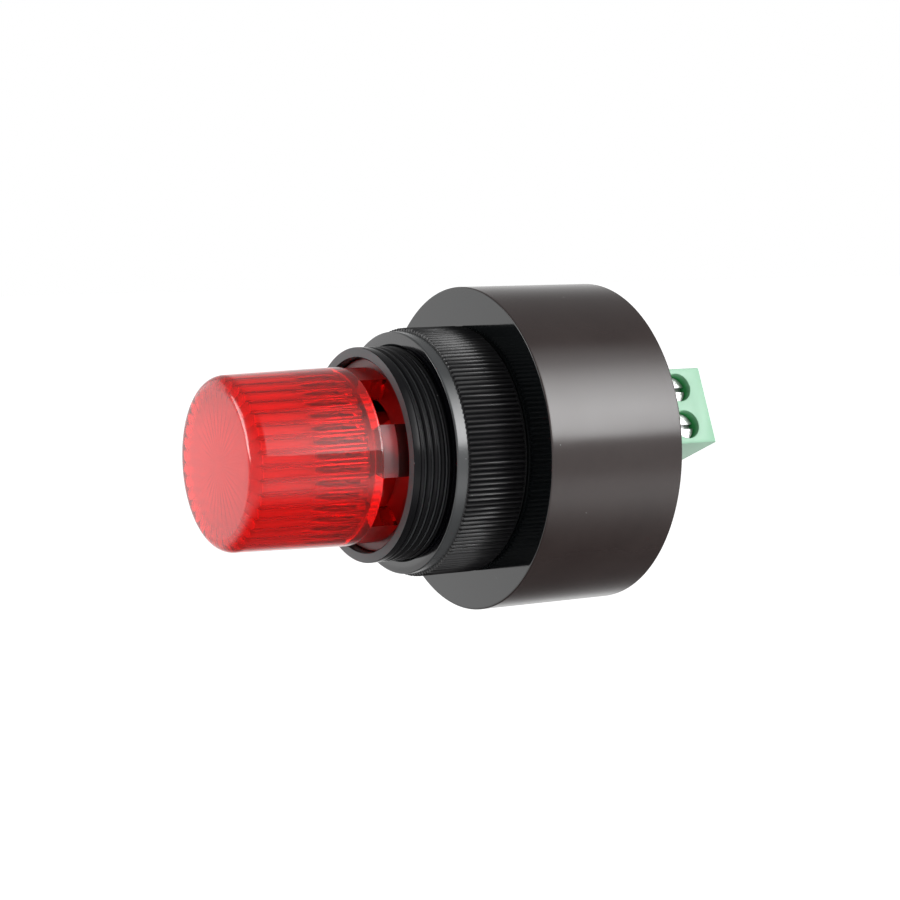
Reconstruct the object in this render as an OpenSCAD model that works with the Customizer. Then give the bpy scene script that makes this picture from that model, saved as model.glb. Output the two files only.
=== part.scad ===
// Panel buzzer with a lit lens: a round case behind the panel, a threaded neck with a knurled ring nut,
// a domed signal lens in the mouth of the neck and a two-way terminal block at the rear.
// Every module is drawn along +Z, towards the lens, with zero at the panel face of the case.
// on_side() then lays that axis along -Y, so +Z is up and +X is the side that carries the terminal screws.

/* [Case] */
// outside diameter of the case
case_d = 42; // [40:0.5:50]
// length of the case behind the panel
case_l = 19.8; // [18:0.1:30]
// side wall of the case
case_wall = 1.8; // [1.4:0.1:2.4]
// front wall that the panel rests against
face_t = 2.5; // [1.5:0.1:4]
// rear cover thickness
cover_t = 1.8; // [1.2:0.1:2.5]
// step in the case wall that the rear cover sits on
cover_step = 0.7; // [0.5:0.05:0.9]
// small break on the edges of the case
edge_break = 0.1; // [0.1:0.05:0.5]

/* [Neck and nut] */
// outside diameter of the thread
thread_d = 27.4; // [26:0.1:30]
// thread pitch
thread_pitch = 1; // [0.8:0.05:1.5]
// thread depth
thread_depth = 0.5; // [0.3:0.05:0.7]
// length of the neck in front of the panel face
neck_l = 15.3; // [13:0.1:20]
// wall of the neck, measured from the thread's crest
neck_wall = 1.4; // [1.2:0.05:2]
// plain land at the mouth of the neck
lead_land = 0.94; // [0.6:0.02:1.5]
// wall of the nut, from the thread's crest to the tips of its knurl
nut_wall = 2.25; // [1.8:0.05:4]
// height of the nut
nut_h = 10.25; // [6:0.25:12]
// number of knurl ridges
knurl_count = 150; // [90:1:180]
// depth of the knurl
knurl_depth = 0.38; // [0.2:0.02:0.6]
// smooth band in front of the knurl
nut_band = 1.35; // [0.8:0.05:3]

/* [Lens] */
// ring gap between the lens and the bore of the neck
lens_gap = 0.97; // [0.8:0.01:1.5]
// length of the lens from rim to front
lens_l = 17.5; // [12:0.5:30]
// taper of the lens, lost from the radius over its length
lens_draft = 0.38; // [0:0.02:0.8]
// rounding of the front edge
lens_round = 1.8; // [1:0.1:3]
// wall of the lens at its rim
lens_wall = 1.95; // [1.6:0.05:2.6]
// number of light-spreading flutes inside the lens
flute_count = 36; // [24:1:48]
// height of the sound windows
window_h = 3.95; // [2:0.05:6]
// number of legs between the windows
leg_count = 5; // [3:1:6]
// width of one leg
leg_w = 6.5; // [4:0.1:7.5]
// turn of the first leg from +X
leg_turn = 8.7; // [-36:0.1:36]

/* [Terminals] */
// distance between the two terminals
pole_pitch = 5.08; // [5:0.01:7.62]
// turn of the block about the case, its screw face from +X towards +Z
block_turn = 23; // [0:1:60]
// how far the block stands out behind the case
block_out = 10.5; // [8:0.05:14]
// distance of the screw face from the axis of the case
block_reach = 13.7; // [12.5:0.1:14.5]
// depth of the block from its screw face
block_depth = 10.2; // [9.8:0.1:12]
// diameter of the screw openings
screw_hole_d = 3.8; // [3.6:0.05:4.2]
// clamp lift, from open to shut
clamp_lift = 1.6; // [1:0.1:1.6]

/* [Inside] */
// thickness of the circuit boards
board_t = 1.6; // [1:0.1:2]
// thickness of the board that carries the lamps
led_board_t = 1.2; // [0.8:0.1:1.6]
// diameter of one lamp
led_d = 5; // [3:0.1:5]
// distance of the lamps from the axis
led_ring = 5; // [4.5:0.1:5.5]
// thickness of the sounder's brass disc
disc_t = 0.3; // [0.2:0.05:0.5]
// diameter of the ceramic on the brass disc
ceramic_d = 19; // [15:0.5:20]
// diameter of the hook-up wires over their sleeve
wire_d = 1.1; // [0.8:0.1:1.3]

/* [Hidden] */
$fn = 96;
// overlap that welds the shapes inside one part
weld = 0.4;
// play between parts that only lie beside each other
loose = 0.3;
// play of a part that is set and bonded in its seat
snug = 0.1;
// radial play of a running fit
run = 0.06;
// how far a cut runs on past the face that it opens
over = 1;

// case
case_r = case_d / 2;
case_in_r = case_r - case_wall;
cover_r = case_in_r + cover_step - snug;
case_rear = -case_l;
cover_front = case_rear + cover_t;

// neck, from the panel face to the mouth
thread_r = thread_d / 2;
root_r = thread_r - thread_depth;
bore_r = thread_r - neck_wall;
throat_step = 1.3;
throat_r = bore_r - throat_step;
flank = 0.56 * thread_depth;
groove_flat = 0.09;
groove_w = min(2 * flank + groove_flat, 0.8 * thread_pitch);
thread_runout = 0.8;
first_groove = neck_l - lead_land;
groove_n = floor((first_groove - thread_runout) / thread_pitch);
lamp_depth = 10.3;
lamp_seat = neck_l - lamp_depth;

// nut
nut_r = thread_r + nut_wall;
nut_bore_r = thread_r + run;
nut_heel = 0.4;
nut_edge = 0.15;
knurl_step = 0.06;

// lens
lens_r = bore_r - lens_gap;
flange_sunk = 1.1;
flange_top = neck_l - flange_sunk;
lens_rim = flange_top + window_h;
lens_front = lens_rim + lens_l;
lens_front_r = lens_r - lens_draft;
lens_in_r = lens_r - lens_wall;
lens_front_t = 1.6;
leg_inset = 0.2;
leg_r = lens_r - leg_inset;
leg_t = 3;
leg_in_r = leg_r - leg_t;
flange_t = 1;
flange_low = flange_top - flange_t;
flange_r = bore_r - snug;
flange_w = 4.6;
flange_in_r = flange_r - flange_w;
collar_h = 0.7;
collar_wall = 1.45;
collar_inset = 0.05;
collar_r = lens_r - collar_inset;
collar_in_r = collar_r - collar_wall;
foot_s = lamp_seat + led_board_t;
foot_h = 1.2;
rim_ring_h = 1.5;
rim_ring_top = lens_rim + rim_ring_h;
rim_ring_lip = 0.15;
rim_ring_in_r = leg_in_r - rim_ring_lip;
flute_r = 0.78;
flute_inset = 0.15;
flute_from = rim_ring_top + flute_inset;
lens_inside = lens_front - lens_front_t;
flute_to = lens_inside - flute_inset;

// lamps on their board
led_r = led_d / 2;
led_board_r = bore_r - loose;
led_flange = 0.4;
led_h = 8.6;
led_lead_r = 0.25;
led_lead_half = 1.27;
led_lead_out = 1;
led_base_h = 1;
sound_hole_r = 0.95;
sound_hole_n = 10;
hole_margin = 0.7;
sound_ring = throat_r - sound_hole_r - hole_margin;
hole_step = 360 / sound_hole_n;
led_turns = [30, 150, 270];
wire_r = wire_d / 2;
wire_ring = sound_ring - loose;
wire_turns = [6.5 * hole_step, 7.5 * hole_step];

// main board and the posts that carry it
screw_head_h = 1.1;
screw_head_r = 1.8;
screw_r = 0.95;
cross_l = 2.4;
cross_w = 0.5;
cross_t = 0.6;
screw_l = 7.6;
screw_play = 0.15;
head_gap = 0.25;
board_rear = cover_front + screw_head_h + head_gap;
board_front = board_rear + board_t;
board_r = case_in_r - 2 * loose;
post_r = 1.9;
post_gap = 0.4;
post_ring = case_in_r - post_r - post_gap;
post_turns = [70, 190, 310];

// sounder
holder_gap = 0.5;
holder_r = post_ring - post_r - holder_gap;
holder_wall = 0.7;
disc_r = holder_r - holder_wall - loose;
disc_ledge = 0.9;
holder_in_r = disc_r - disc_ledge;
holder_front = -face_t;
chamber_h = 2.5;
disc_front = holder_front - chamber_h;
disc_rear = disc_front - disc_t;
holder_skirt = 1.7;
holder_rear = disc_rear - holder_skirt;
ceramic_r = ceramic_d / 2;
ceramic_t = 0.25;
ceramic_rear = disc_rear - ceramic_t;
wire_gap = 0.55;
wire_level = holder_front - wire_r - wire_gap;
drop_inset = 0.7;
wire_drop = post_ring - drop_inset;
lead_turn = 140;
lead_r = 0.4;
solder_r = 1;
solder_h = 0.5;

// parts on the main board: place across the board, then size
chip_at = [-5, -4];
chip_size = [4.9, 3.9, 1.5];
chip_legs = [0.4, 6, 0.25];
chip_leg_pitch = 1.27;
coil_at = [5, -9];
coil_r = 3.6;
coil_h = 6;
coil_flange = 1;
capacitor_inset = 6.6;
capacitor_at = [capacitor_inset - board_r, 1];
capacitor_r = 2.5;
capacitor_h = 5.6;
capacitor_rim = 0.4;
diode_at = [0, 11];
diode_size = [4.3, 2.6, 2.1];
diode_legs = [5.2, 1.4, 0.3];
transistor_at = [-2, 4];
transistor_size = [2.9, 1.3, 1];
transistor_legs = [0.45, 2.4, 0.25];
resistor_places = [[1, 6], [-4, -10]];
resistor_size = [3.2, 1.6, 0.55];
resistor_mid = [2.2, 1.6, 0.65];
lift = 0.1;

// terminal block, in its own turn: X out through the screw face, Y across the poles
block_rear = case_rear - block_out;
block_mid = [block_reach - block_depth / 2, 0];
block_margin = 0.05;
block_half = pole_pitch + block_margin;
block_chamfer = 0.5;
screw_inset = 4.3;
screw_s = block_rear + screw_inset;
head_sink = 1.3;
head_top = block_reach - head_sink;
head_h = 1.4;
head_under = head_top - head_h;
head_play = 0.15;
head_r = screw_hole_d / 2 - head_play;
slot_w = 0.6;
slot_t = 0.7;
shank_r = 1.45;
lip_t = 0.4;
cell_top = head_under - lip_t;
cage_half = 2.1;
cage_wall = 0.5;
cage_plate = 0.6;
cage_len = 3;
cage_top_t = 1.2;
bar_t = 0.9;
bar_half = 1.3;
shank_l = 3.8;
bar_top = head_under - shank_l;
bar_under = bar_top - bar_t;
cage_open = bar_under - clamp_lift - snug;
cage_low = cage_open - cage_plate;
cage_top = bar_top + snug + cage_top_t;
cell_low = cage_low - snug;
cell_half = cage_half + snug;
cell_play = 0.2;
cell_len = cage_len + 2 * cell_play;
entry_r = 1.3;
entry_x = (cage_open + bar_under) / 2;
pin_half = 0.5;
pin_hole_r = 0.75;
pin_out = 0.8;
bar_root = 1;
bar_end = screw_s + cell_len / 2 + bar_root;
poles = [-pole_pitch / 2, pole_pitch / 2];

// lays a module's own axis along the buzzer's axis
module on_side() {
    rotate([90, 0, 0]) children();
}

// turns a module to the terminal block's own directions
module at_block() {
    on_side() rotate([0, 0, block_turn]) children();
}

// a place on a ring about the axis
module at_ring(turn, r, s) {
    rotate([0, 0, turn]) translate([r, 0, s]) children();
}

// a plain tube between two heights
module tube(outer, inner, low, high) {
    translate([0, 0, low]) difference() {
        cylinder(r = outer, h = high - low);
        translate([0, 0, -over]) cylinder(r = inner, h = high - low + 2 * over);
    }
}

// a box that stands on a height and is centred across
module block_at(place, s, size) {
    translate([place[0] - size[0] / 2, place[1] - size[1] / 2, s]) cube(size);
}

// outline of the case and neck, with the thread as rings
function groove(i) =
    let (high = first_groove - i * thread_pitch, low = high - groove_w)
    [[thread_r, high], [root_r, high - flank], [root_r, low + flank], [thread_r, low]];
case_outline = concat(
    [[bore_r, neck_l], [thread_r, neck_l]],
    [for (i = [0 : groove_n - 1]) each groove(i)],
    [[thread_r, 0], [case_r - edge_break, 0], [case_r, -edge_break]],
    [[case_r, case_rear + edge_break], [case_r - edge_break, case_rear], [cover_r + snug, case_rear]],
    [[cover_r + snug, cover_front], [case_in_r, cover_front], [case_in_r, -face_t], [throat_r, -face_t]],
    [[throat_r, lamp_seat], [bore_r, lamp_seat]]
);

module housing() {
    color([0.12, 0.11, 0.11]) on_side() difference() {
        union() {
            rotate_extrude() polygon(case_outline);
            for (turn = post_turns)
                at_ring(turn, post_ring, board_front) cylinder(r = post_r, h = -face_t - board_front + weld);
        }
        for (turn = post_turns)
            at_ring(turn, post_ring, board_front - over) cylinder(r = screw_r + run, h = screw_l);
    }
}

knurl_outline = [
    for (i = [0 : 2 * knurl_count - 1])
        let (r = nut_r - (i % 2) * knurl_depth, turn = i * 180 / knurl_count)
        [r * cos(turn), r * sin(turn)]
];

module ring_nut() {
    band_r = nut_r - knurl_depth - knurl_step;
    color([0.09, 0.09, 0.1]) on_side() difference() {
        union() {
            cylinder(r = band_r, h = nut_h - nut_edge);
            cylinder(r = band_r - nut_edge, h = nut_h);
            translate([0, 0, nut_heel]) linear_extrude(nut_h - nut_band - nut_heel) polygon(knurl_outline);
        }
        translate([0, 0, -over]) cylinder(r = nut_bore_r, h = nut_h + 2 * over);
    }
}

// outline of the lens, its front edge rounded in short steps
round_s = lens_front - lens_round;
lens_outline = concat(
    [[0, lens_rim], [lens_r, lens_rim]],
    [
        for (turn = [0 : 9 : 90])
            [lens_front_r - lens_round * (1 - cos(turn)), round_s + lens_round * sin(turn)]
    ],
    [[0, lens_front]]
);

// the shell, with a thick ring at its rim and flutes inside from there to the front
module lens_shell() {
    difference() {
        rotate_extrude() polygon(lens_outline);
        translate([0, 0, lens_rim - over]) cylinder(r = rim_ring_in_r, h = rim_ring_h + 2 * over);
        translate([0, 0, rim_ring_top]) cylinder(r = lens_in_r, h = lens_inside - rim_ring_top);
        for (i = [0 : flute_count - 1])
            at_ring(i * 360 / flute_count, lens_in_r, flute_from)
                cylinder(r = flute_r, h = flute_to - flute_from);
    }
}

// the ways through between the legs, from one height to another
module windows(low, high) {
    difference() {
        translate([0, 0, low]) cylinder(r = lens_r + over, h = high - low);
        for (i = [0 : leg_count - 1])
            rotate([0, 0, leg_turn + i * 360 / leg_count])
                translate([0, -leg_w / 2, low - over])
                    cube([lens_r + 2 * over, leg_w, high - low + 2 * over]);
    }
}

// the lens stands on legs on a flange sunk in the neck, and the collar under it on the lamp board
module lens() {
    color([0.8, 0.05, 0.05, 0.8]) on_side() {
        lens_shell();
        difference() {
            tube(leg_r, leg_in_r, flange_top - weld, lens_rim + weld);
            windows(flange_top, lens_rim + weld + over);
        }
        tube(flange_r, flange_in_r, flange_low, flange_top);
        difference() {
            tube(collar_r, collar_in_r, foot_s, flange_low + weld);
            windows(foot_s + foot_h, flange_low - collar_h);
        }
        tube(flange_r, (collar_r + collar_in_r) / 2, foot_s, foot_s + foot_h);
    }
}

module led_board() {
    cut_h = led_board_t + 2 * over;
    color([0.55, 0.05, 0.05]) on_side() difference() {
        translate([0, 0, lamp_seat]) cylinder(r = led_board_r, h = led_board_t);
        for (i = [0 : sound_hole_n - 1])
            at_ring(i * hole_step, sound_ring, lamp_seat - over) cylinder(r = sound_hole_r, h = cut_h);
        for (turn = wire_turns)
            at_ring(turn, wire_ring, lamp_seat - over) cylinder(r = wire_r + snug, h = cut_h);
        for (turn = led_turns, side = [-led_lead_half, led_lead_half])
            at_ring(turn, led_ring, lamp_seat - over)
                translate([0, side, 0]) cylinder(r = led_lead_r + snug, h = cut_h);
    }
}

// one lamp: flange, body, dome and two leads in one moulding
module led(i) {
    low = lamp_seat + led_board_t;
    color([0.9, 0.25, 0.2]) on_side() at_ring(led_turns[i], led_ring, low) {
        cylinder(r = led_r + led_flange, h = led_base_h);
        cylinder(r = led_r, h = led_h - led_r);
        translate([0, 0, led_h - led_r]) sphere(r = led_r);
        for (side = [-led_lead_half, led_lead_half])
            translate([0, side, -led_board_t - led_lead_out])
                cylinder(r = led_lead_r, h = led_board_t + led_lead_out + weld);
    }
}

// one hook-up wire: down the throat, out past the sounder and back to the main board
module led_wire(i) {
    color(i == 0 ? [0.7, 0.05, 0.05] : [0.08, 0.08, 0.08]) on_side() {
        at_ring(wire_turns[i], wire_ring, wire_level)
            cylinder(r = wire_r, h = lamp_seat + led_board_t + loose - wire_level);
        at_ring(wire_turns[i], wire_ring, wire_level) sphere(r = wire_r);
        at_ring(wire_turns[i], wire_ring, wire_level)
            rotate([0, 90, 0]) cylinder(r = wire_r, h = wire_drop - wire_ring);
        at_ring(wire_turns[i], wire_drop, wire_level) sphere(r = wire_r);
        at_ring(wire_turns[i], wire_drop, board_front) cylinder(r = wire_r, h = wire_level - board_front);
    }
}

module piezo_holder() {
    notch_w = wire_d + 2 * loose;
    notch_low = wire_level - wire_r - loose;
    color([0.16, 0.16, 0.17]) on_side() difference() {
        tube(holder_r, holder_in_r, holder_rear, holder_front);
        translate([0, 0, holder_rear - over])
            cylinder(r = holder_r - holder_wall, h = disc_front - holder_rear + over);
        for (turn = wire_turns)
            rotate([0, 0, turn]) translate([0, -notch_w / 2, notch_low])
                cube([holder_r + over, notch_w, holder_front - notch_low + over]);
    }
}

module piezo_disc() {
    color([0.78, 0.62, 0.28]) on_side() translate([0, 0, disc_rear]) cylinder(r = disc_r, h = disc_t);
}

module piezo_ceramic() {
    color([0.85, 0.84, 0.8]) on_side() translate([0, 0, ceramic_rear]) cylinder(r = ceramic_r, h = ceramic_t);
}

// a soldered lead from the sounder straight back to the main board
module piezo_wire(ring, top) {
    on_side() at_ring(lead_turn, ring, board_front) {
        cylinder(r = lead_r, h = top - board_front);
        translate([0, 0, top - board_front - solder_h]) cylinder(r = solder_r, h = solder_h);
    }
}

module piezo_wire_1() {
    color([0.7, 0.05, 0.05]) piezo_wire((ceramic_r + disc_r) / 2, disc_rear);
}

module piezo_wire_2() {
    color([0.08, 0.08, 0.08]) piezo_wire(0.65 * ceramic_r, ceramic_rear);
}

module main_board() {
    cut_s = board_rear - over;
    cut_h = board_t + 2 * over;
    color([0.1, 0.35, 0.15]) difference() {
        on_side() difference() {
            translate([0, 0, board_rear]) cylinder(r = board_r, h = board_t);
            for (turn = post_turns)
                at_ring(turn, post_ring, cut_s) cylinder(r = screw_r + screw_play, h = cut_h);
        }
        at_block() for (y = poles)
            translate([bar_under + bar_t / 2, y, cut_s]) cylinder(r = pin_hole_r, h = cut_h);
    }
}

module driver_chip() {
    color([0.1, 0.1, 0.1]) on_side() {
        block_at(chip_at, board_front + lift, chip_size);
        for (i = [-1.5 : 1 : 1.5])
            block_at(chip_at + [i * chip_leg_pitch, 0], board_front, chip_legs);
    }
}

// drum core with its winding between two flanges
module step_up_coil() {
    color([0.45, 0.25, 0.12]) on_side() translate([coil_at[0], coil_at[1], board_front]) {
        cylinder(r = coil_r, h = coil_flange);
        cylinder(r = coil_r - coil_flange / 2, h = coil_h);
        translate([0, 0, coil_h - coil_flange]) cylinder(r = coil_r, h = coil_flange);
    }
}

module capacitor() {
    color([0.15, 0.15, 0.3]) on_side() translate([capacitor_at[0], capacitor_at[1], board_front]) {
        cylinder(r = capacitor_r, h = capacitor_h - capacitor_rim);
        cylinder(r = capacitor_r - capacitor_rim / 2, h = capacitor_h);
    }
}

module diode() {
    color([0.1, 0.1, 0.1]) on_side() {
        block_at(diode_at, board_front + lift, diode_size);
        block_at(diode_at, board_front, diode_legs);
    }
}

module transistor() {
    color([0.1, 0.1, 0.1]) on_side() {
        block_at(transistor_at, board_front + lift, transistor_size);
        block_at(transistor_at, board_front, transistor_legs);
    }
}

// a flat chip resistor with soldered ends
module resistor(i) {
    color([0.12, 0.12, 0.13]) on_side() {
        block_at(resistor_places[i], board_front, resistor_size);
        block_at(resistor_places[i], board_front, resistor_mid);
    }
}

module board_screws() {
    color([0.75, 0.75, 0.76]) on_side() for (turn = post_turns)
        at_ring(turn, post_ring, board_rear) difference() {
            union() {
                translate([0, 0, -screw_head_h]) cylinder(r = screw_head_r, h = screw_head_h);
                cylinder(r = screw_r, h = screw_l - screw_head_h);
            }
            block_at([0, 0], -screw_head_h - over, [cross_l, cross_w, over + cross_t]);
            block_at([0, 0], -screw_head_h - over, [cross_w, cross_l, over + cross_t]);
        }
}

module rear_cover() {
    color([0.12, 0.11, 0.11]) difference() {
        on_side() translate([0, 0, case_rear]) cylinder(r = cover_r, h = cover_t);
        at_block() block_at(
            block_mid, case_rear - over,
            [block_depth + 2 * loose, 2 * block_half + 2 * loose, cover_t + 2 * over]
        );
    }
}

module terminal_block() {
    color([0.45, 0.8, 0.6]) at_block() difference() {
        block_at(block_mid, block_rear, [block_depth, 2 * block_half, board_rear - block_rear]);
        for (y = poles) {
            // opening over the screw, its lip and the cell of the clamp
            translate([head_under, y, screw_s]) rotate([0, 90, 0])
                cylinder(r = screw_hole_d / 2, h = block_depth);
            translate([cell_top - over, y, screw_s]) rotate([0, 90, 0])
                cylinder(r = shank_r + run, h = lip_t + 2 * over);
            translate([cell_low, y - cell_half, screw_s - cell_len / 2])
                cube([cell_top - cell_low, 2 * cell_half, cell_len]);
            // way in for the conductor, and the slot of the contact
            translate([entry_x, y, block_rear - over]) cylinder(r = entry_r, h = screw_inset);
            translate([bar_under - snug, y - bar_half - snug, screw_s])
                cube([bar_t + 2 * snug, 2 * (bar_half + snug), bar_end + snug - screw_s]);
            translate([bar_under - snug, y - pin_half - snug, screw_s])
                cube([bar_t + 2 * snug, 2 * (pin_half + snug), board_rear + over - screw_s]);
        }
        // corner of the rear edge, taken off across the screw face
        translate([block_reach, 0, block_rear]) rotate([0, 45, 0])
            cube([block_chamfer, 2 * (block_half + over), block_chamfer], center = true);
    }
}

module terminal_screw(y) {
    color([0.8, 0.8, 0.82]) at_block() translate([0, y, screw_s]) rotate([0, 90, 0]) difference() {
        union() {
            translate([0, 0, head_under + run]) cylinder(r = head_r, h = head_h);
            translate([0, 0, bar_top + run]) cylinder(r = shank_r, h = head_under - bar_top + weld);
        }
        block_at([0, 0], head_top + run - slot_t, [2 * (head_r + over), slot_w, slot_t + over]);
    }
}

// lifting clamp: a loop around the contact bar, threaded on the screw through its top
module clamp_cage(y) {
    color([0.7, 0.7, 0.72]) at_block() translate([0, y, screw_s]) difference() {
        translate([cage_low, -cage_half, -cage_len / 2]) cube([cage_top - cage_low, 2 * cage_half, cage_len]);
        translate([cage_open, -cage_half + cage_wall, -cage_len / 2 - over])
            cube([bar_top + snug - cage_open, 2 * (cage_half - cage_wall), cage_len + 2 * over]);
        translate([bar_top, 0, 0]) rotate([0, 90, 0])
            cylinder(r = shank_r + run, h = cage_top - bar_top + over);
    }
}

module contact_pin(y) {
    bar_from = screw_s - cage_len / 2;
    color([0.8, 0.75, 0.6]) at_block() {
        translate([bar_under, y - bar_half, bar_from]) cube([bar_t, 2 * bar_half, bar_end - bar_from]);
        translate([bar_under, y - pin_half, bar_from])
            cube([bar_t, 2 * pin_half, board_front + pin_out - bar_from]);
    }
}

housing();
ring_nut();
lens();
led_board();
led(0);  // led_1
led(1);  // led_2
led(2);  // led_3
led_wire(0);  // led_wire_1
led_wire(1);  // led_wire_2
piezo_holder();
piezo_disc();
piezo_ceramic();
piezo_wire_1();
piezo_wire_2();
main_board();
driver_chip();
step_up_coil();
capacitor();
diode();
transistor();
resistor(0);  // resistor_1
resistor(1);  // resistor_2
board_screws();
rear_cover();
terminal_block();
terminal_screw(poles[0]);  // terminal_screw_1
terminal_screw(poles[1]);  // terminal_screw_2
clamp_cage(poles[0]);  // clamp_cage_1
clamp_cage(poles[1]);  // clamp_cage_2
contact_pin(poles[0]);  // contact_pin_1
contact_pin(poles[1]);  // contact_pin_2
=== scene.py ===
import math

import bpy
from mathutils import Matrix, Vector


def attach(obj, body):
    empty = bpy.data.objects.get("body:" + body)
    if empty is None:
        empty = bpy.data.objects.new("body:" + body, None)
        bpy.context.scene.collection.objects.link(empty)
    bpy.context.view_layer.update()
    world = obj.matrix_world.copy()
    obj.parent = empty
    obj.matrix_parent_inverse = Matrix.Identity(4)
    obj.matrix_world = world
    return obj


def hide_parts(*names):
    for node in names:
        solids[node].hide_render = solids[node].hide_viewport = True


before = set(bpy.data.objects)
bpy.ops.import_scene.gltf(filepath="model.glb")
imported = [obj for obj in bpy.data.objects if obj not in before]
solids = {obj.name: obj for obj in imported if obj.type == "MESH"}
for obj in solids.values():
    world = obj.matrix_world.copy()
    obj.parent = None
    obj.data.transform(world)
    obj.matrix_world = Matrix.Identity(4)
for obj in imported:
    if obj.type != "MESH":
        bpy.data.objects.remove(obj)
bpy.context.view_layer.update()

bpy.ops.object.select_all(action="DESELECT")

# Studio: the part floats over a white table in front of a white surround, seen with a long lens.
# A tall softbox on the right makes the band of light on the black cylinders, a second one stands to
# the left of the camera for the rounded edges, and a weak panel fills in from further left.
scene = bpy.context.scene
scene.view_settings.view_transform = "Standard"
camera = bpy.data.objects.new("photo_camera", bpy.data.cameras.new("photo_camera"))
scene.collection.objects.link(camera)
camera.data.sensor_width = 36
camera.data.lens = 93.1
camera.data.clip_start = 0.01
camera.location = (0.25670, -0.15721, 0.03267)
view_direction = Vector((-0.8506, 0.5145, -0.1085))
camera.rotation_mode = "QUATERNION"
camera.rotation_quaternion = view_direction.to_track_quat("-Z", "Y")
scene.camera = camera

def add(tree, kind, values=None, **settings):
    """Adds a node to a tree, with its settings and the plain values of its inputs."""
    made = tree.nodes.new(kind)
    for key, value in settings.items():
        setattr(made, key, value)
    for key, value in (values or {}).items():
        made.inputs[key].default_value = value
    return made

def join_math(tree, operation, first, second):
    """Adds a Math node. Each side is a socket or a number."""
    made = add(tree, "ShaderNodeMath", operation=operation)
    for place, side in enumerate((first, second)):
        if isinstance(side, bpy.types.NodeSocket):
            tree.links.new(side, made.inputs[place])
        else:
            made.inputs[place].default_value = side
    return made.outputs[0]

def mixed(tree, mask, first, second, kind="RGBA"):
    """Mixes two colours, or two numbers of kind FLOAT, by a mask. Each side is a socket or a plain value."""
    made = add(tree, "ShaderNodeMix", data_type=kind)
    tree.links.new(mask, made.inputs["Factor"])
    for label, side in (("A", first), ("B", second)):
        if isinstance(side, bpy.types.NodeSocket):
            tree.links.new(side, made.inputs[label])
        else:
            made.inputs[label].default_value = (*side, 1) if kind == "RGBA" else side
    return made.outputs["Result"]

def ranged(tree, value, start, stop, low, high, way="LINEAR"):
    """Maps a socket that goes from start to stop onto the range from low to high."""
    ends = {"From Min": start, "From Max": stop, "To Min": low, "To Max": high}
    made = add(tree, "ShaderNodeMapRange", ends, interpolation_type=way)
    tree.links.new(value, made.inputs["Value"])
    return made.outputs[0]

# the surround is white to the camera, and darkens upwards for everything else
surround = bpy.data.worlds.new("white_surround")
surround.use_nodes = True
scene.world = surround
sky = surround.node_tree
rays = add(sky, "ShaderNodeLightPath")
towards = add(sky, "ShaderNodeTexCoord")
height = add(sky, "ShaderNodeSeparateXYZ")
sky.links.new(towards.outputs["Generated"], height.inputs[0])
fall = ranged(sky, height.outputs["Z"], 0.12, 0.6, 1.0, 0.35)
level = join_math(sky, "MAXIMUM", fall, rays.outputs["Is Camera Ray"])
sky.links.new(level, sky.nodes["Background"].inputs["Strength"])
sky.nodes["Background"].inputs["Color"].default_value = (1, 1, 1, 1)

# the table is white paper; to glossy rays it carries painted shade, a dark round patch under the part
table_level = -0.16
patch_edge, patch_end = 0.11, 0.33
bpy.ops.mesh.primitive_plane_add(size=8, location=(0, 0, table_level))
table = bpy.context.object
table.name = "table"
white_table = bpy.data.materials.new("white_table")
white_table.use_nodes = True
tree = white_table.node_tree
rays = add(tree, "ShaderNodeLightPath")
spot = add(tree, "ShaderNodeTexCoord")
apart = add(tree, "ShaderNodeVectorMath", operation="LENGTH")
tree.links.new(spot.outputs["Object"], apart.inputs[0])
clear = ranged(tree, apart.outputs["Value"], patch_edge, patch_end, 0, 1, "SMOOTHSTEP")
painted_shade = join_math(tree, "SUBTRACT", 1.0, clear)
painted_shade = join_math(tree, "MULTIPLY", painted_shade, rays.outputs["Is Glossy Ray"])
paper = add(tree, "ShaderNodeBsdfDiffuse")
# painted shade: glossy rays see the paper dark grey under the part, and its glow fades out there
tree.links.new(mixed(tree, painted_shade, (0.82, 0.82, 0.82), (0.16, 0.15, 0.15)), paper.inputs["Color"])
seen = join_math(tree, "MULTIPLY", join_math(tree, "SUBTRACT", rays.outputs["Is Glossy Ray"], painted_shade), 0.6)
for ray, strength in (("Is Transmission Ray", 1.0), ("Is Camera Ray", 0.78)):
    seen = join_math(tree, "MAXIMUM", seen, join_math(tree, "MULTIPLY", rays.outputs[ray], strength))
glow = add(tree, "ShaderNodeEmission", {"Color": (1, 1, 1, 1)})
tree.links.new(seen, glow.inputs["Strength"])
both = add(tree, "ShaderNodeAddShader")
tree.links.new(paper.outputs[0], both.inputs[0])
tree.links.new(glow.outputs[0], both.inputs[1])
tree.links.new(both.outputs[0], tree.nodes["Material Output"].inputs["Surface"])
table.data.materials.append(white_table)

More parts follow.
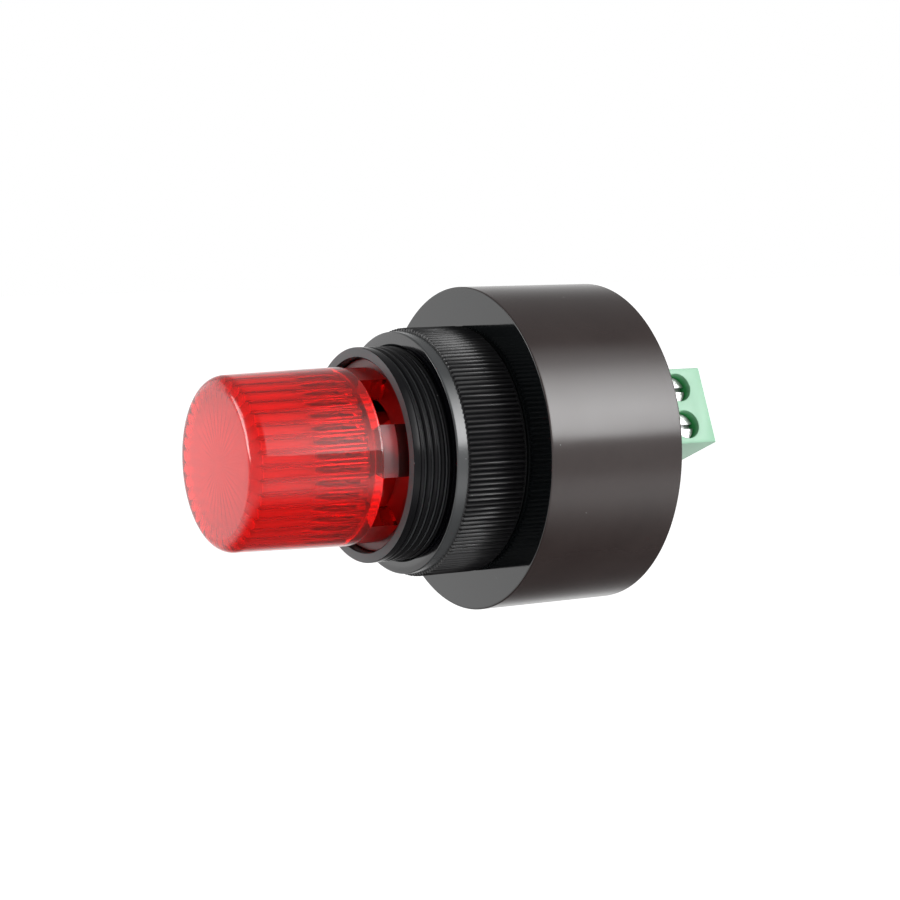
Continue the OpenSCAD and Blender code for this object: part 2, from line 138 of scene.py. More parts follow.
def softbox(name, place, up, width, tall, radiance, fade_across, fade_up):
    """A rectangular lamp turned to the part. Each fade lists how bright it is along its width or height."""
    lamp = bpy.data.objects.new(name, bpy.data.lights.new(name, "AREA"))
    scene.collection.objects.link(lamp)
    lamp.data.shape = "RECTANGLE"
    lamp.data.size, lamp.data.size_y = width, tall
    lamp.data.energy = math.pi * width * tall * radiance
    back = Vector(place).normalized()
    side = Vector(up).cross(back).normalized()
    lamp.matrix_world = Matrix((side, back.cross(side), back)).transposed().to_4x4()
    lamp.location = place
    lamp.data.use_nodes = True
    tree = lamp.data.node_tree
    spread = add(tree, "ShaderNodeNewGeometry")
    apart = add(tree, "ShaderNodeSeparateXYZ")
    tree.links.new(spread.outputs["Parametric"], apart.inputs[0])
    levels = []
    for axis, fade in (("X", fade_across), ("Y", fade_up)):
        ramp = add(tree, "ShaderNodeValToRGB")
        ramp.color_ramp.elements[0].color = (fade[0][1],) * 3 + (1,)
        ramp.color_ramp.elements[1].color = (fade[-1][1],) * 3 + (1,)
        for stop, share in fade[1:-1]:
            ramp.color_ramp.elements.new(stop).color = (share, share, share, 1)
        tree.links.new(apart.outputs[axis], ramp.inputs[0])
        levels.append(ramp.outputs[0])
    tree.links.new(join_math(tree, "MULTIPLY", *levels), tree.nodes["Emission"].inputs["Strength"])

even = [(0, 1), (1, 1)]
softbox("softbox_right", (0.3188, 0.2357, 0.3024), (-0.643, 0, 0.766), width=0.235, tall=0.55, radiance=12.5,
        fade_across=[(0, 0.14), (0.27, 0.18), (0.35, 0.24), (0.43, 0.4), (0.5, 1), (0.61, 1), (0.69, 0.78),
                     (1, 0.88)],
        fade_up=[(0, 0.8), (0.08, 0.88), (0.3, 0.93), (0.52, 0.63), (0.75, 0.19), (1, 0.02)])
softbox("softbox_left", (-0.30, -0.45, 0.09), (0, 0, 1), width=0.20, tall=0.24, radiance=8,
        fade_across=even, fade_up=[(0, 1), (1, 0.4)])
softbox("panel_left", (-0.63, -0.26, 0.02), (0, 0, 1), width=0.36, tall=0.70, radiance=0.6,
        fade_across=even, fade_up=even)

# Case and neck: one moulding in black plastic, polished on the face that meets the panel and satin
# round its side. The neck carries the thread for the ring nut, and posts inside carry the board.
# Outlines are in millimetres: distance from the axis, and height from the panel face to the lens.
def arc(middle_r, middle_s, radius, start, stop, steps):
    """Points (radius, height) along an arc of an outline, in degrees from the radial direction."""
    turns = [math.radians(start + (stop - start) * i / steps) for i in range(steps + 1)]
    return [(middle_r + radius * math.cos(t), middle_s + radius * math.sin(t)) for t in turns]

same_point = 1e-6

def drawn(name, path):
    """Draws a path of (radius, height) as edges of a new piece, and stays in edit mode with all selected."""
    bpy.ops.object.select_all(action="DESELECT")
    bpy.ops.mesh.primitive_plane_add(size=0.001)
    piece = bpy.context.object
    piece.name = piece.data.name = name
    bpy.ops.object.mode_set(mode="EDIT")
    bpy.ops.mesh.select_mode(type="VERT")
    bpy.ops.mesh.select_all(action="SELECT")
    bpy.ops.mesh.merge(type="CENTER")
    r, s = path[0]
    bpy.ops.transform.translate(value=(r / 1000, -s / 1000, 0))
    for next_r, next_s in path[1:]:
        step = ((next_r - r) / 1000, (s - next_s) / 1000, 0)
        bpy.ops.mesh.extrude_vertices_move(TRANSFORM_OT_translate={"value": step})
        r, s = next_r, next_s
    bpy.ops.mesh.select_all(action="SELECT")
    bpy.ops.mesh.remove_doubles(threshold=same_point)
    return piece

def face_out():
    """Turns all faces of the mesh in edit mode outwards, and leaves edit mode."""
    bpy.ops.mesh.select_all(action="SELECT")
    bpy.ops.mesh.normals_make_consistent(inside=False)
    bpy.ops.object.mode_set(mode="OBJECT")

def turned(name, outline, steps, closed=True):
    """Draws an outline and spins it about the axis."""
    piece = drawn(name, list(outline) + ([outline[0]] if closed else []))
    bpy.ops.mesh.spin(steps=steps, angle=2 * math.pi, center=(0, 0, 0), axis=(0, 1, 0))
    bpy.ops.mesh.select_all(action="SELECT")
    bpy.ops.mesh.remove_doubles(threshold=same_point)
    face_out()
    return piece

case_outline = (
    [(12.3, 5.0), (12.3, 15.1), (12.5, 15.3)]
    + arc(13.6, 15.2, 0.1, 90, 0, 4)
    + [(13.7, 14.36), (13.22, 14.08), (13.2, 0.3)]
    + arc(13.4, 0.2, 0.2, 180, 270, 3)
    + [(13.5, 0), (20.72, 0)]
    + arc(20.84, -0.16, 0.16, 90, 0, 5)
    + [(21, -0.4), (21, -19.6)]
    + arc(20.9, -19.7, 0.1, 0, -90, 4)
    + [(19.9, -19.8), (19.9, -18.0), (19.2, -18.0), (19.2, -2.5), (11.0, -2.5), (11.0, 5.0)]
)
case = turned("case_and_neck", case_outline, 288)

# the thread: one ridge, drawn out along a right-hand helix
thread_top, thread_pitch, thread_turns, thread_start = 14.78, 0.001, 14, 100
flank = [(13.1, -0.46), (13.22, -0.455), (13.55, -0.25), (13.66, -0.17), (13.695, -0.06)]
ridge = flank + [(r, -s) for r, s in reversed(flank)]
thread = drawn("thread", [(r, s + thread_top) for r, s in ridge + ridge[:1]])
bpy.ops.mesh.edge_face_add()
bpy.ops.object.mode_set(mode="OBJECT")
helix = thread.modifiers.new("helix", "SCREW")
helix.axis = "Y"
helix.angle = 2 * math.pi
helix.screw_offset = thread_pitch
helix.iterations = thread_turns
helix.steps = helix.render_steps = 120
bpy.ops.object.modifier_apply(modifier="helix")
thread.rotation_euler = (0, math.radians(thread_start), 0)
bpy.ops.object.transform_apply(location=True, rotation=True, scale=True)
bpy.ops.object.mode_set(mode="EDIT")
bpy.ops.mesh.select_all(action="SELECT")
bpy.ops.mesh.fill_holes(sides=12)
face_out()

def deselected(kind):
    """Leaves the active mesh with nothing selected, ready to select its VERT, EDGE or FACE in code."""
    bpy.ops.object.mode_set(mode="EDIT")
    bpy.ops.mesh.select_mode(type=kind)
    bpy.ops.mesh.select_all(action="DESELECT")
    bpy.ops.object.mode_set(mode="OBJECT")

def only(*pieces):
    """Selects these pieces alone, with the last one active."""
    bpy.ops.object.select_all(action="DESELECT")
    for piece in pieces:
        piece.select_set(True)
    bpy.context.view_layer.objects.active = pieces[-1]

# the posts for the board screws: the end face of each is set in and sunk for its screw
post_ring, post_middle, post_r, post_l = 0.0169, 0.008725, 0.0019, 0.01265
post_wall, screw_depth = 0.00085, 0.007
bpy.ops.object.select_all(action="DESELECT")
posts = []
for turn in (70, 190, 310):
    place = (post_ring * math.cos(math.radians(turn)), post_middle, post_ring * math.sin(math.radians(turn)))
    bpy.ops.mesh.primitive_cylinder_add(
        vertices=40, radius=post_r, depth=post_l, location=place, rotation=(math.pi / 2, 0, 0)
    )
    post = bpy.context.object
    bpy.ops.object.transform_apply(location=True, rotation=True, scale=True)
    deselected("FACE")
    for face in post.data.polygons:
        face.select = face.normal.y > 0.9
    bpy.ops.object.mode_set(mode="EDIT")
    bpy.ops.mesh.inset(thickness=post_wall)
    bpy.ops.mesh.extrude_region_move(TRANSFORM_OT_translate={"value": (0, -screw_depth, 0)})
    bpy.ops.object.mode_set(mode="OBJECT")
    posts.append(post)
only(*posts, thread, case)
bpy.ops.object.join()
bpy.ops.object.shade_smooth_by_angle(angle=math.radians(32))

def group(name, inputs, outputs):
    """A shader node group with plain number inputs, and its two end nodes."""
    made = bpy.data.node_groups.new(name, "ShaderNodeTree")
    for label, value in inputs:
        made.interface.new_socket(label, in_out="INPUT", socket_type="NodeSocketFloat").default_value = value
    for label in outputs:
        made.interface.new_socket(label, in_out="OUTPUT", socket_type="NodeSocketFloat")
    return made, made.nodes.new("NodeGroupInput"), made.nodes.new("NodeGroupOutput")

# cloudy flow tone and fine grain of a moulded skin
skin, skin_in, skin_out = group("moulded_skin", [("Clouds", 120.0), ("Grain", 6000.0)], ["Tone", "Height"])
spot = add(skin, "ShaderNodeTexCoord")
clouds = add(skin, "ShaderNodeTexNoise", {"Detail": 3.0, "Roughness": 0.6})
grain = add(skin, "ShaderNodeTexNoise", {"Detail": 2.0, "Roughness": 0.5})
for noise, label, result in ((clouds, "Clouds", "Tone"), (grain, "Grain", "Height")):
    skin.links.new(spot.outputs["Object"], noise.inputs["Vector"])
    skin.links.new(skin_in.outputs[label], noise.inputs["Scale"])
    skin.links.new(noise.outputs[0], skin_out.inputs[result])

# sparse specks of pale dust, each a small dot in a random cell
dust, dust_in, dust_out = group("dust_specks", [("Scale", 1100.0), ("Share", 0.05), ("Size", 0.08)], ["Mask"])
spot = add(dust, "ShaderNodeTexCoord")
cells = add(dust, "ShaderNodeTexVoronoi")
dust.links.new(spot.outputs["Object"], cells.inputs["Vector"])
dust.links.new(dust_in.outputs["Scale"], cells.inputs["Scale"])
lot = add(dust, "ShaderNodeSeparateColor")
dust.links.new(cells.outputs["Color"], lot.inputs[0])
near = join_math(dust, "LESS_THAN", cells.outputs["Distance"], dust_in.outputs["Size"])
chosen = join_math(dust, "LESS_THAN", lot.outputs[0], dust_in.outputs["Share"])
dust.links.new(join_math(dust, "MULTIPLY", near, chosen), dust_out.inputs["Mask"])

def finish_of(name):
    """A new material, its node tree and its Principled BSDF."""
    made = bpy.data.materials.new(name)
    made.use_nodes = True
    return made, made.node_tree, made.node_tree.nodes["Principled BSDF"]

def bump(tree, shader, height, depth):
    """Gives a shader its bump from a height socket, with the depth in metres."""
    made = add(tree, "ShaderNodeBump", {"Strength": 1.0, "Distance": depth})
    tree.links.new(height, made.inputs["Height"])
    tree.links.new(made.outputs[0], shader.inputs["Normal"])

def black_plastic(name, dark, light, face, polished, satin, depth, specks, shine=0.5):
    """Black moulded plastic: a cloudy tone on its sides, another colour and gloss on its front faces."""
    made, tree, shader = finish_of(name)
    shader.inputs["Specular IOR Level"].default_value = shine
    body = add(tree, "ShaderNodeGroup", node_tree=skin)
    tone = body.outputs["Tone"]
    dirt = add(tree, "ShaderNodeGroup", {"Share": specks}, node_tree=dust)
    facing = add(tree, "ShaderNodeNewGeometry")
    apart = add(tree, "ShaderNodeSeparateXYZ")
    tree.links.new(facing.outputs["Normal"], apart.inputs[0])
    to_front = join_math(tree, "LESS_THAN", apart.outputs["Y"], -0.9)
    colour = mixed(tree, to_front, mixed(tree, tone, dark, light), face)
    tree.links.new(mixed(tree, dirt.outputs["Mask"], colour, (0.2, 0.2, 0.2)), shader.inputs["Base Color"])
    side_gloss = ranged(tree, tone, 0, 1, satin - 0.05, satin + 0.05)
    face_gloss = ranged(tree, tone, 0, 1, polished - 0.02, polished + 0.02)
    tree.links.new(mixed(tree, to_front, side_gloss, face_gloss, "FLOAT"), shader.inputs["Roughness"])
    bump(tree, shader, body.outputs["Height"], depth)
    return made

def place_of(co):
    """Millimetres of a point from the buzzer's axis, and from the panel face towards the lens."""
    return math.hypot(co.x, co.z) * 1000, -co.y * 1000

def coat(piece, finish, zone_finish=None, zone_r=0, zone_s=0):
    """Gives a piece its finish, and another one to its faces within a radius and past a height."""
    piece.data.materials.clear()
    piece.data.materials.append(finish)
    if zone_finish:
        piece.data.materials.append(zone_finish)
        for face in piece.data.polygons:
            r, s = place_of(face.center)
            face.material_index = int(r < zone_r and s > zone_s)

case_black = black_plastic(
    "case_black", (0.026, 0.017, 0.016), (0.040, 0.028, 0.026), (0.004, 0.005, 0.0055),
    polished=0.06, satin=0.2, depth=0.000001, specks=0.02
)
# painted reflection: the neck's front faces, the annulus at its mouth, get a pale grey that stands in for the
# light they reflect; its sides are darker than the case's
neck_black = black_plastic(
    "neck_black", (0.005, 0.005, 0.006), (0.009, 0.009, 0.010), (0.125, 0.128, 0.133),
    polished=0.4, satin=0.2, depth=0.000001, specks=0.05, shine=0.12
)
coat(case, case_black, neck_black, zone_r=13.95, zone_s=-2.6)
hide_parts("housing")
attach(case, "case")

# Ring nut: a black moulding that clamps the panel against the case. A straight knurl of rounded ridges
# stands proud of the smooth band at its front edge.
band_r, knurl_r = 15.51, 15.57
ridge_columns, column_turn = 6, 0.4
nut_outline = (
    [(13.76, 0.3), (13.76, 10.0), (13.96, 10.25)]
    + arc(15.31, 10.05, 0.2, 90, 0, 4)
    + [(band_r, s) for s in (9.97, 8.75, 8.67)]
    + [(knurl_r, s) for s in (8.63, 8.55, 8.35, 4.6, 0.6, 0.45)]
    + [(band_r, 0.4), (band_r, 0.15), (15.36, 0.0), (14.06, 0.0)]
)
nut = turned("knurled_ring_nut", nut_outline, 900)

def pick(piece, test):
    """Goes into edit mode with the vertices selected whose place passes a test."""
    deselected("VERT")
    for vertex in piece.data.vertices:
        vertex.select = test(vertex.co)
    bpy.ops.object.mode_set(mode="EDIT")

def swell(factor):
    """Scales what is selected away from the buzzer's axis, and leaves edit mode."""
    bpy.ops.transform.resize(value=(factor, 1, factor), center_override=(0, 0, 0))
    bpy.ops.object.mode_set(mode="OBJECT")

def ridge_step(co):
    """How many columns of its ridge a point of the nut lies from the ridge's tip, 0 to 3."""
    column = round(math.degrees(math.atan2(co.z, co.x)) / column_turn) % ridge_columns
    return min(column, ridge_columns - column)

def on_knurl(co, low, high):
    """Whether a point lies on the plain ground of the knurl between two heights."""
    r, s = place_of(co)
    return abs(r - knurl_r) < 0.01 and low < s < high

# the ridges are full along the knurl, and lower at its two ends
for step, ridge_r in enumerate((15.95, 15.89, 15.70, 15.48)):
    for low, high, share in ((0.55, 8.4, 1.0), (8.45, 8.6, 0.75), (0.4, 0.5, 0.6)):
        pick(nut, lambda co: on_knurl(co, low, high) and ridge_step(co) == step)
        swell(1 + share * (ridge_r / knurl_r - 1))
pick(nut, lambda co: place_of(co)[0] > 15.65)
bpy.ops.transform.vertex_random(offset=0.00003, seed=4)
bpy.ops.object.mode_set(mode="OBJECT")
bpy.ops.object.shade_smooth_by_angle(angle=math.radians(35))
nut_black = black_plastic(
    "nut_black", (0.007, 0.007, 0.008), (0.014, 0.014, 0.015), (0.002, 0.002, 0.003),
    polished=0.12, satin=0.35, depth=0.0000015, specks=0.03
)
# painted sheen: the smooth band at the nut's front edge is a lighter copy of the nut's black, standing in for
# the light band on it
band_painted_sheen = black_plastic(
    "band_painted_sheen", (0.045, 0.048, 0.05), (0.06, 0.064, 0.066), (0.002, 0.002, 0.003),
    polished=0.12, satin=0.22, depth=0.0000015, specks=0.02, shine=0.62
)
coat(nut, nut_black, band_painted_sheen, zone_r=15.535, zone_s=8.6)
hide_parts("ring_nut")
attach(nut, "nut")

# Lens: clear red plastic, polished outside and fluted inside to spread the light. It stands on five short
# legs on a flange in the mouth of the neck, which leaves windows for the sound, and a collar goes on down
# from the flange to a foot on the lamp board. It is snapped in and doesn't turn.
front, inside_front, rim, shell_low = 35.65, 34.05, 18.15, 19.65
flange_top, flange_low, collar_top, foot_top, foot_low = 14.2, 13.2, 12.5, 7.4, 6.2
leg_in, leg_out, collar_in, collar_out = 8.13, 11.13, 9.83, 11.28
flange_in, flange_out, shell_in, crown_r, crown = 7.6, 12.2, 9.38, 9.15, 0.12
lens_outline = (
    [(r, front - crown * (r / crown_r) ** 2) for r in (0, 1.2, 2.4, 4, 6, 8, crown_r)]
    + arc(crown_r, 33.73, 1.8, 84, 1, 12)
    + [(11.05, 30.0), (11.2, 24.0), (11.31, 18.5)]
    + arc(11.25, 18.23, 0.08, 0, -90, 3)
    + [(leg_out, rim), (leg_out, 16.0), (leg_out, flange_top), (11.9, flange_top)]
    + arc(12.1, 14.1, 0.1, 90, 0, 3)
    + [(flange_out, flange_low)]
    + [(collar_out, s) for s in (flange_low, collar_top, foot_top)]
    + [(flange_out, foot_top), (flange_out, foot_low)]
    + [(collar_in, s) for s in (foot_low, foot_top, collar_top, flange_low)]
    + [(flange_in, flange_low), (flange_in, flange_top), (leg_in, flange_top), (leg_in, rim)]
    + [(7.98, rim), (7.98, shell_low)]
    + [(shell_in, s) for s in (shell_low, 20.2, 26.5, 33.8)]
    + arc(9.23, 33.9, 0.15, 0, 90, 3)
    + [(r, inside_front) for r in (7.6, 6.0, 4.4, 2.8, 1.2, 0)]
)
lens = turned("signal_lens", lens_outline, 720, closed=False)

def turn_of(co):
    """Degrees of a point round the buzzer's axis, from +X towards +Z."""
    return math.degrees(math.atan2(co.z, co.x)) % 360

def off_flute(co):
    """Half degrees of a point from the middle of the nearest flute, 0 to 10."""
    turn = round(turn_of(co) * 2) % 20
    return min(turn, 20 - turn)

def on_shell(co):
    """Whether a point lies on the plain inner wall of the shell."""
    r, s = place_of(co)
    return 9.2 < r < 9.4 and 19.6 < s < 34.1

# flutes: half-round hollows side by side, up to the inside of the front
flute_r = 0.78
for aside in range(10):
    turn = math.radians(aside / 2)
    floor_r = shell_in * math.cos(turn) + math.sqrt(flute_r ** 2 - (shell_in * math.sin(turn)) ** 2)
    pick(lens, lambda co: on_shell(co) and off_flute(co) == aside)
    swell(floor_r / shell_in)

# shallow radial flutes on the inside of the front
def on_front_flute(co):
    r, s = place_of(co)
    return abs(s - inside_front) < 0.001 and 1 < r < 8 and off_flute(co) < 4

pick(lens, on_front_flute)
bpy.ops.transform.translate(value=(0, -0.00001, 0))
bpy.ops.object.mode_set(mode="OBJECT")

# windows: the walls between the legs are taken out, the rims are bridged and the legs' sides are filled
leg_turn, window_start, window_stop = 72, 17, 55
deselected("FACE")
for face in lens.data.polygons:
    r, s = place_of(face.center)
    on_leg = min(abs(r - leg_in), abs(r - leg_out)) < 0.02 and 14.3 < s < 18
    on_collar = min(abs(r - collar_in), abs(r - collar_out)) < 0.02 and 7.5 < s < 12.4
    face.select = (on_leg or on_collar) and window_start < turn_of(face.center) % leg_turn < window_stop
bpy.ops.object.mode_set(mode="EDIT")
bpy.ops.mesh.delete(type="FACE")
bpy.ops.object.mode_set(mode="OBJECT")
for level in (rim, flange_top, collar_top, foot_top):
    for window in range(5):
        bpy.ops.object.mode_set(mode="EDIT")
        bpy.ops.mesh.select_mode(type="EDGE")
        bpy.ops.mesh.select_all(action="DESELECT")
        bpy.ops.mesh.select_non_manifold(extend=False, use_wire=False, use_boundary=True,
                                         use_multi_face=False, use_non_contiguous=False, use_verts=False)
        bpy.ops.object.mode_set(mode="OBJECT")
        for edge in lens.data.edges:
            if edge.select:
                a, b = (lens.data.vertices[i].co for i in edge.vertices)
                middle = (a + b) / 2
                on_level = abs(a.y - b.y) < same_point and abs(place_of(middle)[1] - level) < 0.01
                turn = turn_of(middle) - leg_turn * window
                edge.select = on_level and window_start + 0.2 < turn < window_stop - 0.2
        bpy.ops.object.mode_set(mode="EDIT")
        bpy.ops.mesh.bridge_edge_loops()
        bpy.ops.object.mode_set(mode="OBJECT")
bpy.ops.object.mode_set(mode="EDIT")
bpy.ops.mesh.select_mode(type="VERT")
bpy.ops.mesh.select_all(action="SELECT")
bpy.ops.mesh.fill_holes(sides=12)
face_out()
lens_turn = 8.7
lens.rotation_euler = (0, -math.radians(lens_turn), 0)
bpy.ops.object.transform_apply(location=True, rotation=True, scale=True)
bpy.ops.object.shade_smooth_by_angle(angle=math.radians(32))

lens_red, tree, shader = finish_of("lens_red")
shader.inputs["Transmission Weight"].default_value = 0.9
shader.inputs["IOR"].default_value = 1.49
body = add(tree, "ShaderNodeGroup", {"Clouds": 300.0, "Grain": 1500.0}, node_tree=skin)
spot = add(tree, "ShaderNodeTexCoord")
apart = add(tree, "ShaderNodeSeparateXYZ")
tree.links.new(spot.outputs["Object"], apart.inputs[0])
along = apart.outputs["Y"]
across = add(tree, "ShaderNodeVectorMath", {1: (1, 0, 1)}, operation="MULTIPLY")
tree.links.new(spot.outputs["Object"], across.inputs[0])
reach = add(tree, "ShaderNodeVectorMath", operation="LENGTH")
tree.links.new(across.outputs[0], reach.inputs[0])
reach = reach.outputs["Value"]

# zones: the flange and all under it, what lies under the flange, the legs' outer faces and the inner wall
low = join_math(tree, "GREATER_THAN", along, -0.01422)
under_flange_shade = join_math(tree, "GREATER_THAN", along, -0.01319)
leg = join_math(tree, "COMPARE", reach, 0.01113)
leg.node.inputs[2].default_value = 0.00004
leg = join_math(tree, "MULTIPLY", leg, join_math(tree, "GREATER_THAN", along, -0.0181))
leg = join_math(tree, "MULTIPLY", leg, join_math(tree, "SUBTRACT", 1.0, low))
inside = join_math(tree, "LESS_THAN", reach, 0.0103)
inside = join_math(tree, "MULTIPLY", inside, join_math(tree, "GREATER_THAN", along, -0.0342))
front_inside = join_math(tree, "MULTIPLY", inside, join_math(tree, "LESS_THAN", along, -0.034))

# colours: the leg on the +X side carries a painted reflection, pale at its top, and painted shade, dark below
# it; the other legs are as red as the shell
# painted reflection above this height on the +X leg, painted shade below it
ground = join_math(tree, "LESS_THAN", along, -0.016)
leg_painted_sheen = mixed(tree, ground, (0.03, 0.0005, 0.0005), (0.9, 0.7, 0.74))
on_sheen_leg = join_math(tree, "GREATER_THAN", apart.outputs["X"], 0.009)
leg_tone = mixed(tree, on_sheen_leg, (0.97, 0.03, 0.025), leg_painted_sheen)
# painted shade: the flange and all under it are a darker red, and what lies under the flange darker still, as
# shade in the neck's mouth
shell_red_and_shade = mixed(tree, low, (0.97, 0.05, 0.04), (0.36, 0.003, 0.003))
shell_red_and_shade = mixed(tree, under_flange_shade, shell_red_and_shade, (0.05, 0.0005, 0.0005))
tree.links.new(mixed(tree, leg, shell_red_and_shade, leg_tone), shader.inputs["Base Color"])

# gloss: each flute is clear up to a round end, past which it is hazy to the front, and the legs, the flange
# and the inside of the front are matt
half_flute = math.radians(5)
turn = join_math(tree, "ARCTAN2", apart.outputs["Z"], apart.outputs["X"])
turn = join_math(tree, "ADD", turn, math.radians(360 - lens_turn))
aside = join_math(tree, "DIVIDE", join_math(tree, "PINGPONG", turn, half_flute), half_flute)
aside = join_math(tree, "POWER", aside, 3.0)
run_out = join_math(tree, "ADD", along, join_math(tree, "MULTIPLY", aside, -0.003))
hazy = ranged(tree, run_out, -0.0246, -0.0286, 0.04, 0.4)
polish = ranged(tree, body.outputs["Tone"], 0, 1, 0.02, 0.06)
gloss = mixed(tree, inside, polish, hazy, "FLOAT")
matt = join_math(tree, "MAXIMUM", join_math(tree, "MAXIMUM", leg, front_inside), low)
tree.links.new(mixed(tree, matt, gloss, 0.42, "FLOAT"), shader.inputs["Roughness"])
bump(tree, shader, body.outputs["Height"], 0.0000004)
depth = add(tree, "ShaderNodeVolumeAbsorption", {"Color": (0.995, 0.2, 0.18, 1), "Density": 1000.0})
tree.links.new(depth.outputs[0], tree.nodes["Material Output"].inputs["Volume"])
coat(lens, lens_red)
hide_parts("lens")
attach(lens, "case")

# Terminal block: a pale green moulding on the main board, with a sunk screw over each clamp.
# Its edges are softened as they come from the mould.
block = solids["terminal_block"].copy()
block.data = solids["terminal_block"].data.copy()
for key in list(block.keys()):
    del block[key]
block.parent = None
block.name = block.data.name = "green_terminal_block"
scene.collection.objects.link(block)
only(block)
bpy.ops.object.mode_set(mode="EDIT")
bpy.ops.mesh.select_all(action="SELECT")
bpy.ops.mesh.remove_doubles(threshold=same_point)
bpy.ops.mesh.dissolve_limited(angle_limit=math.radians(1))
bpy.ops.object.mode_set(mode="OBJECT")
soft = block.modifiers.new("soft_edges", "BEVEL")
soft.width = 0.00012
soft.segments = 3
soft.limit_method = "ANGLE"
soft.angle_limit = math.radians(40)
bpy.ops.object.modifier_apply(modifier="soft_edges")
bpy.ops.object.shade_smooth_by_angle(angle=math.radians(35))

# the walls of the two screw openings carry painted shade: a darker, deeper green, which grows with the depth
block_green, tree, shader = finish_of("block_green")
body = add(tree, "ShaderNodeGroup", {"Clouds": 250.0, "Grain": 8000.0}, node_tree=skin)
spot = add(tree, "ShaderNodeTexCoord")
half_pitch, screw_line, opening_r = 0.00254, 0.026, 0.00198
outwards, sideways, rearwards = (0.920505, 0, 0.390731), (-0.390731, 0, 0.920505), (0, 1, 0)
levels = []
for way in (outwards, sideways, rearwards):
    along = add(tree, "ShaderNodeVectorMath", {1: way}, operation="DOT_PRODUCT")
    tree.links.new(spot.outputs["Object"], along.inputs[0])
    levels.append(along.outputs["Value"])
aside = join_math(tree, "SUBTRACT", join_math(tree, "ABSOLUTE", levels[1], 0), half_pitch)
behind = join_math(tree, "SUBTRACT", levels[2], screw_line)
squares = [join_math(tree, "MULTIPLY", side, side) for side in (aside, behind)]
opening = join_math(tree, "LESS_THAN", join_math(tree, "ADD", *squares), opening_r ** 2)
opening = join_math(tree, "MULTIPLY", opening, join_math(tree, "GREATER_THAN", levels[0], 0.005))
sunk = ranged(tree, levels[0], 0.0137, 0.0127, 0.15, 0.95)
shade = join_math(tree, "MULTIPLY", opening, sunk)
tone = mixed(tree, body.outputs["Tone"], (0.35, 0.635, 0.44), (0.39, 0.69, 0.50))
# painted shade in the screw openings
tree.links.new(mixed(tree, shade, tone, (0.025, 0.40, 0.10)), shader.inputs["Base Color"])
tree.links.new(ranged(tree, body.outputs["Tone"], 0, 1, 0.32, 0.45), shader.inputs["Roughness"])
bump(tree, shader, body.outputs["Height"], 0.000002)
coat(block, block_green)
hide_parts("terminal_block")
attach(block, "case")

# Screws, clamps and pins: bright plated steel with fine scratches, and tinned brass for the contacts.
# They are stamped and turned parts that sit in the block and the board.
def plated(name, tint, rough, clouds=700.0, depth=0.000004):
    """Bright plating, clouded and lightly scratched."""
    made, tree, shader = finish_of(name)
    shader.inputs["Metallic"].default_value = 1.0
    body = add(tree, "ShaderNodeGroup", {"Clouds": clouds, "Grain": 9000.0}, node_tree=skin)
    worn = tuple(0.8 * part for part in tint)
    tree.links.new(mixed(tree, body.outputs["Tone"], worn, tint), shader.inputs["Base Color"])
    tree.links.new(ranged(tree, body.outputs["Tone"], 0, 1, *rough), shader.inputs["Roughness"])
    bump(tree, shader, body.outputs["Height"], depth)
    return made

def dress(material, *names):
    """Puts a material in every slot of some solids that keep their own shape."""
    for name in names:
        if not solids[name].material_slots:
            solids[name].data.materials.append(material)
        for place in solids[name].material_slots:
            place.material = material

dress(plated("plated_steel", (0.86, 0.86, 0.87), rough=(0.16, 0.38)),
      "clamp_cage_1", "clamp_cage_2", "board_screws")
dress(plated("tinned_brass", (0.80, 0.76, 0.66), rough=(0.25, 0.45)), "contact_pin_1", "contact_pin_2")
dress(plated("turned_steel", (0.65, 0.65, 0.65), rough=(0.25, 0.45), clouds=3000.0, depth=0.00003),
      "terminal_screw_1", "terminal_screw_2")

# Inside: lamp board, lamps, sounder, main board and its parts, and the rear cover that shuts them in.
# They are seen only through the lens windows, from behind or with the cover off, and each has its own
# plain finish with a little variation.
def dull(name, dark, light, rough, clouds, grain, depth, lines=None):
    """A plain non-metal finish with a cloudy tone and fine grain. Lines gives the width, height and gap
    in metres of the plain fields between its tracks or turns of wire, and the colour in the gaps."""
    made, tree, shader = finish_of(name)
    body = add(tree, "ShaderNodeGroup", {"Clouds": clouds, "Grain": grain}, node_tree=skin)
    tone = mixed(tree, body.outputs["Tone"], dark, light)
    height = body.outputs["Height"]
    if lines:
        wide, tall, gap, colour = lines
        spot = add(tree, "ShaderNodeTexCoord")
        turn = add(tree, "ShaderNodeMapping", {"Rotation": (math.pi / 2, 0, 0)})
        tree.links.new(spot.outputs["Object"], turn.inputs["Vector"])
        fields = add(tree, "ShaderNodeTexBrick", {"Scale": 1.0, "Mortar Size": gap, "Mortar Smooth": 0.1,
                                                  "Brick Width": wide, "Row Height": tall})
        tree.links.new(turn.outputs["Vector"], fields.inputs["Vector"])
        tone = mixed(tree, fields.outputs["Fac"], tone, colour)
        height = join_math(tree, "ADD", join_math(tree, "MULTIPLY", height, 0.2), fields.outputs["Fac"])
    tree.links.new(tone, shader.inputs["Base Color"])
    tree.links.new(ranged(tree, body.outputs["Tone"], 0, 1, *rough), shader.inputs["Roughness"])
    bump(tree, shader, height, depth)
    return made

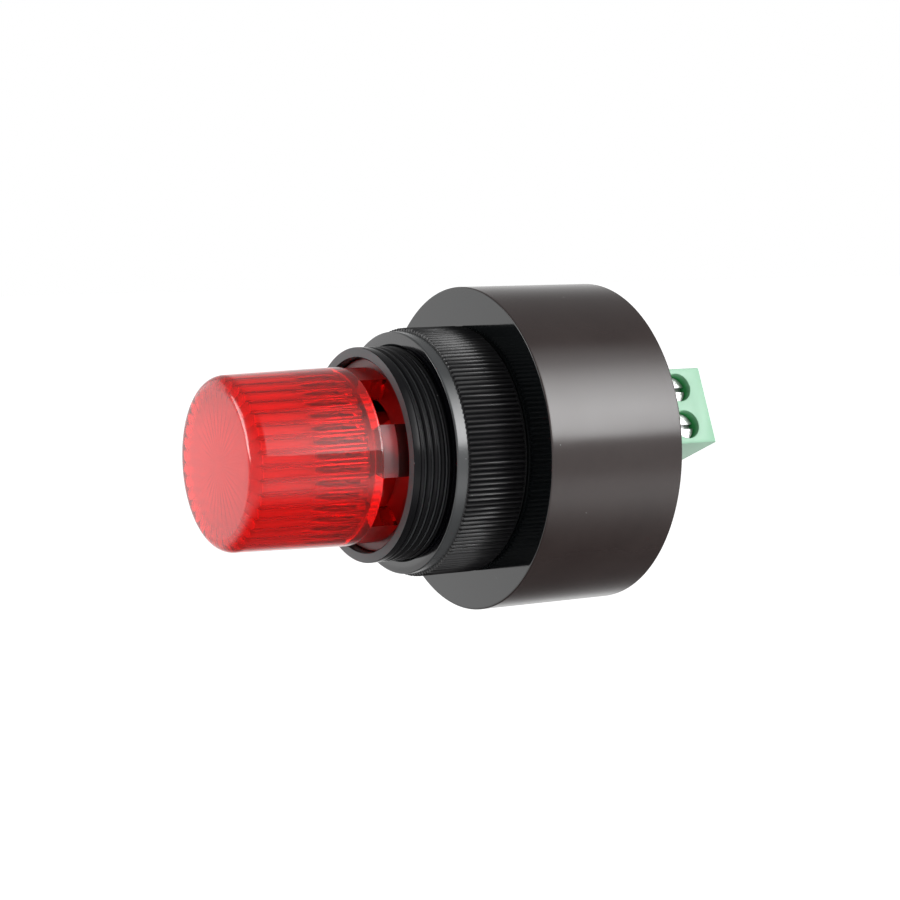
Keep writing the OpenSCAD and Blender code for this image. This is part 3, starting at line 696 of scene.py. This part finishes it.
dress(case_black, "rear_cover")
dress(plated("rolled_brass", (0.80, 0.60, 0.25), rough=(0.25, 0.5)), "piezo_disc")
dress(dull("board_red", (0.16, 0.006, 0.006), (0.24, 0.012, 0.01),
           rough=(0.25, 0.4), clouds=400.0, grain=3000.0, depth=0.00001,
           lines=(0.0042, 0.0021, 0.00018, (0.3, 0.03, 0.02))),
      "led_board")
dress(dull("board_green", (0.02, 0.14, 0.05), (0.035, 0.2, 0.075),
           rough=(0.3, 0.45), clouds=400.0, grain=3000.0, depth=0.00001,
           lines=(0.0038, 0.0019, 0.00018, (0.06, 0.3, 0.11))),
      "main_board")
dress(dull("lamp_epoxy", (0.55, 0.03, 0.025), (0.7, 0.06, 0.05),
           rough=(0.05, 0.12), clouds=300.0, grain=2000.0, depth=0.000001),
      "led_1", "led_2", "led_3")
dress(dull("wire_red", (0.42, 0.012, 0.012), (0.55, 0.02, 0.02),
           rough=(0.4, 0.55), clouds=900.0, grain=6000.0, depth=0.000004),
      "led_wire_1", "piezo_wire_1")
dress(dull("wire_black", (0.015, 0.015, 0.015), (0.03, 0.03, 0.03),
           rough=(0.4, 0.55), clouds=900.0, grain=6000.0, depth=0.000004),
      "led_wire_2", "piezo_wire_2")
dress(dull("holder_black", (0.03, 0.03, 0.032), (0.05, 0.05, 0.053),
           rough=(0.4, 0.55), clouds=200.0, grain=5000.0, depth=0.000003),
      "piezo_holder")
dress(dull("ceramic", (0.6, 0.58, 0.54), (0.72, 0.7, 0.66),
           rough=(0.3, 0.5), clouds=900.0, grain=9000.0, depth=0.000003),
      "piezo_ceramic")
dress(dull("chip_black", (0.018, 0.018, 0.018), (0.035, 0.035, 0.035),
           rough=(0.45, 0.6), clouds=900.0, grain=9000.0, depth=0.000004),
      "driver_chip", "diode", "transistor", "resistor_1", "resistor_2")
dress(dull("coil_copper", (0.2, 0.07, 0.025), (0.38, 0.15, 0.05),
           rough=(0.3, 0.45), clouds=1200.0, grain=6000.0, depth=0.00004,
           lines=(1.0, 0.0003, 0.00005, (0.06, 0.02, 0.008))),
      "step_up_coil")
dress(dull("can_sleeve", (0.03, 0.03, 0.1), (0.05, 0.05, 0.14),
           rough=(0.3, 0.4), clouds=500.0, grain=6000.0, depth=0.000003),
      "capacitor")
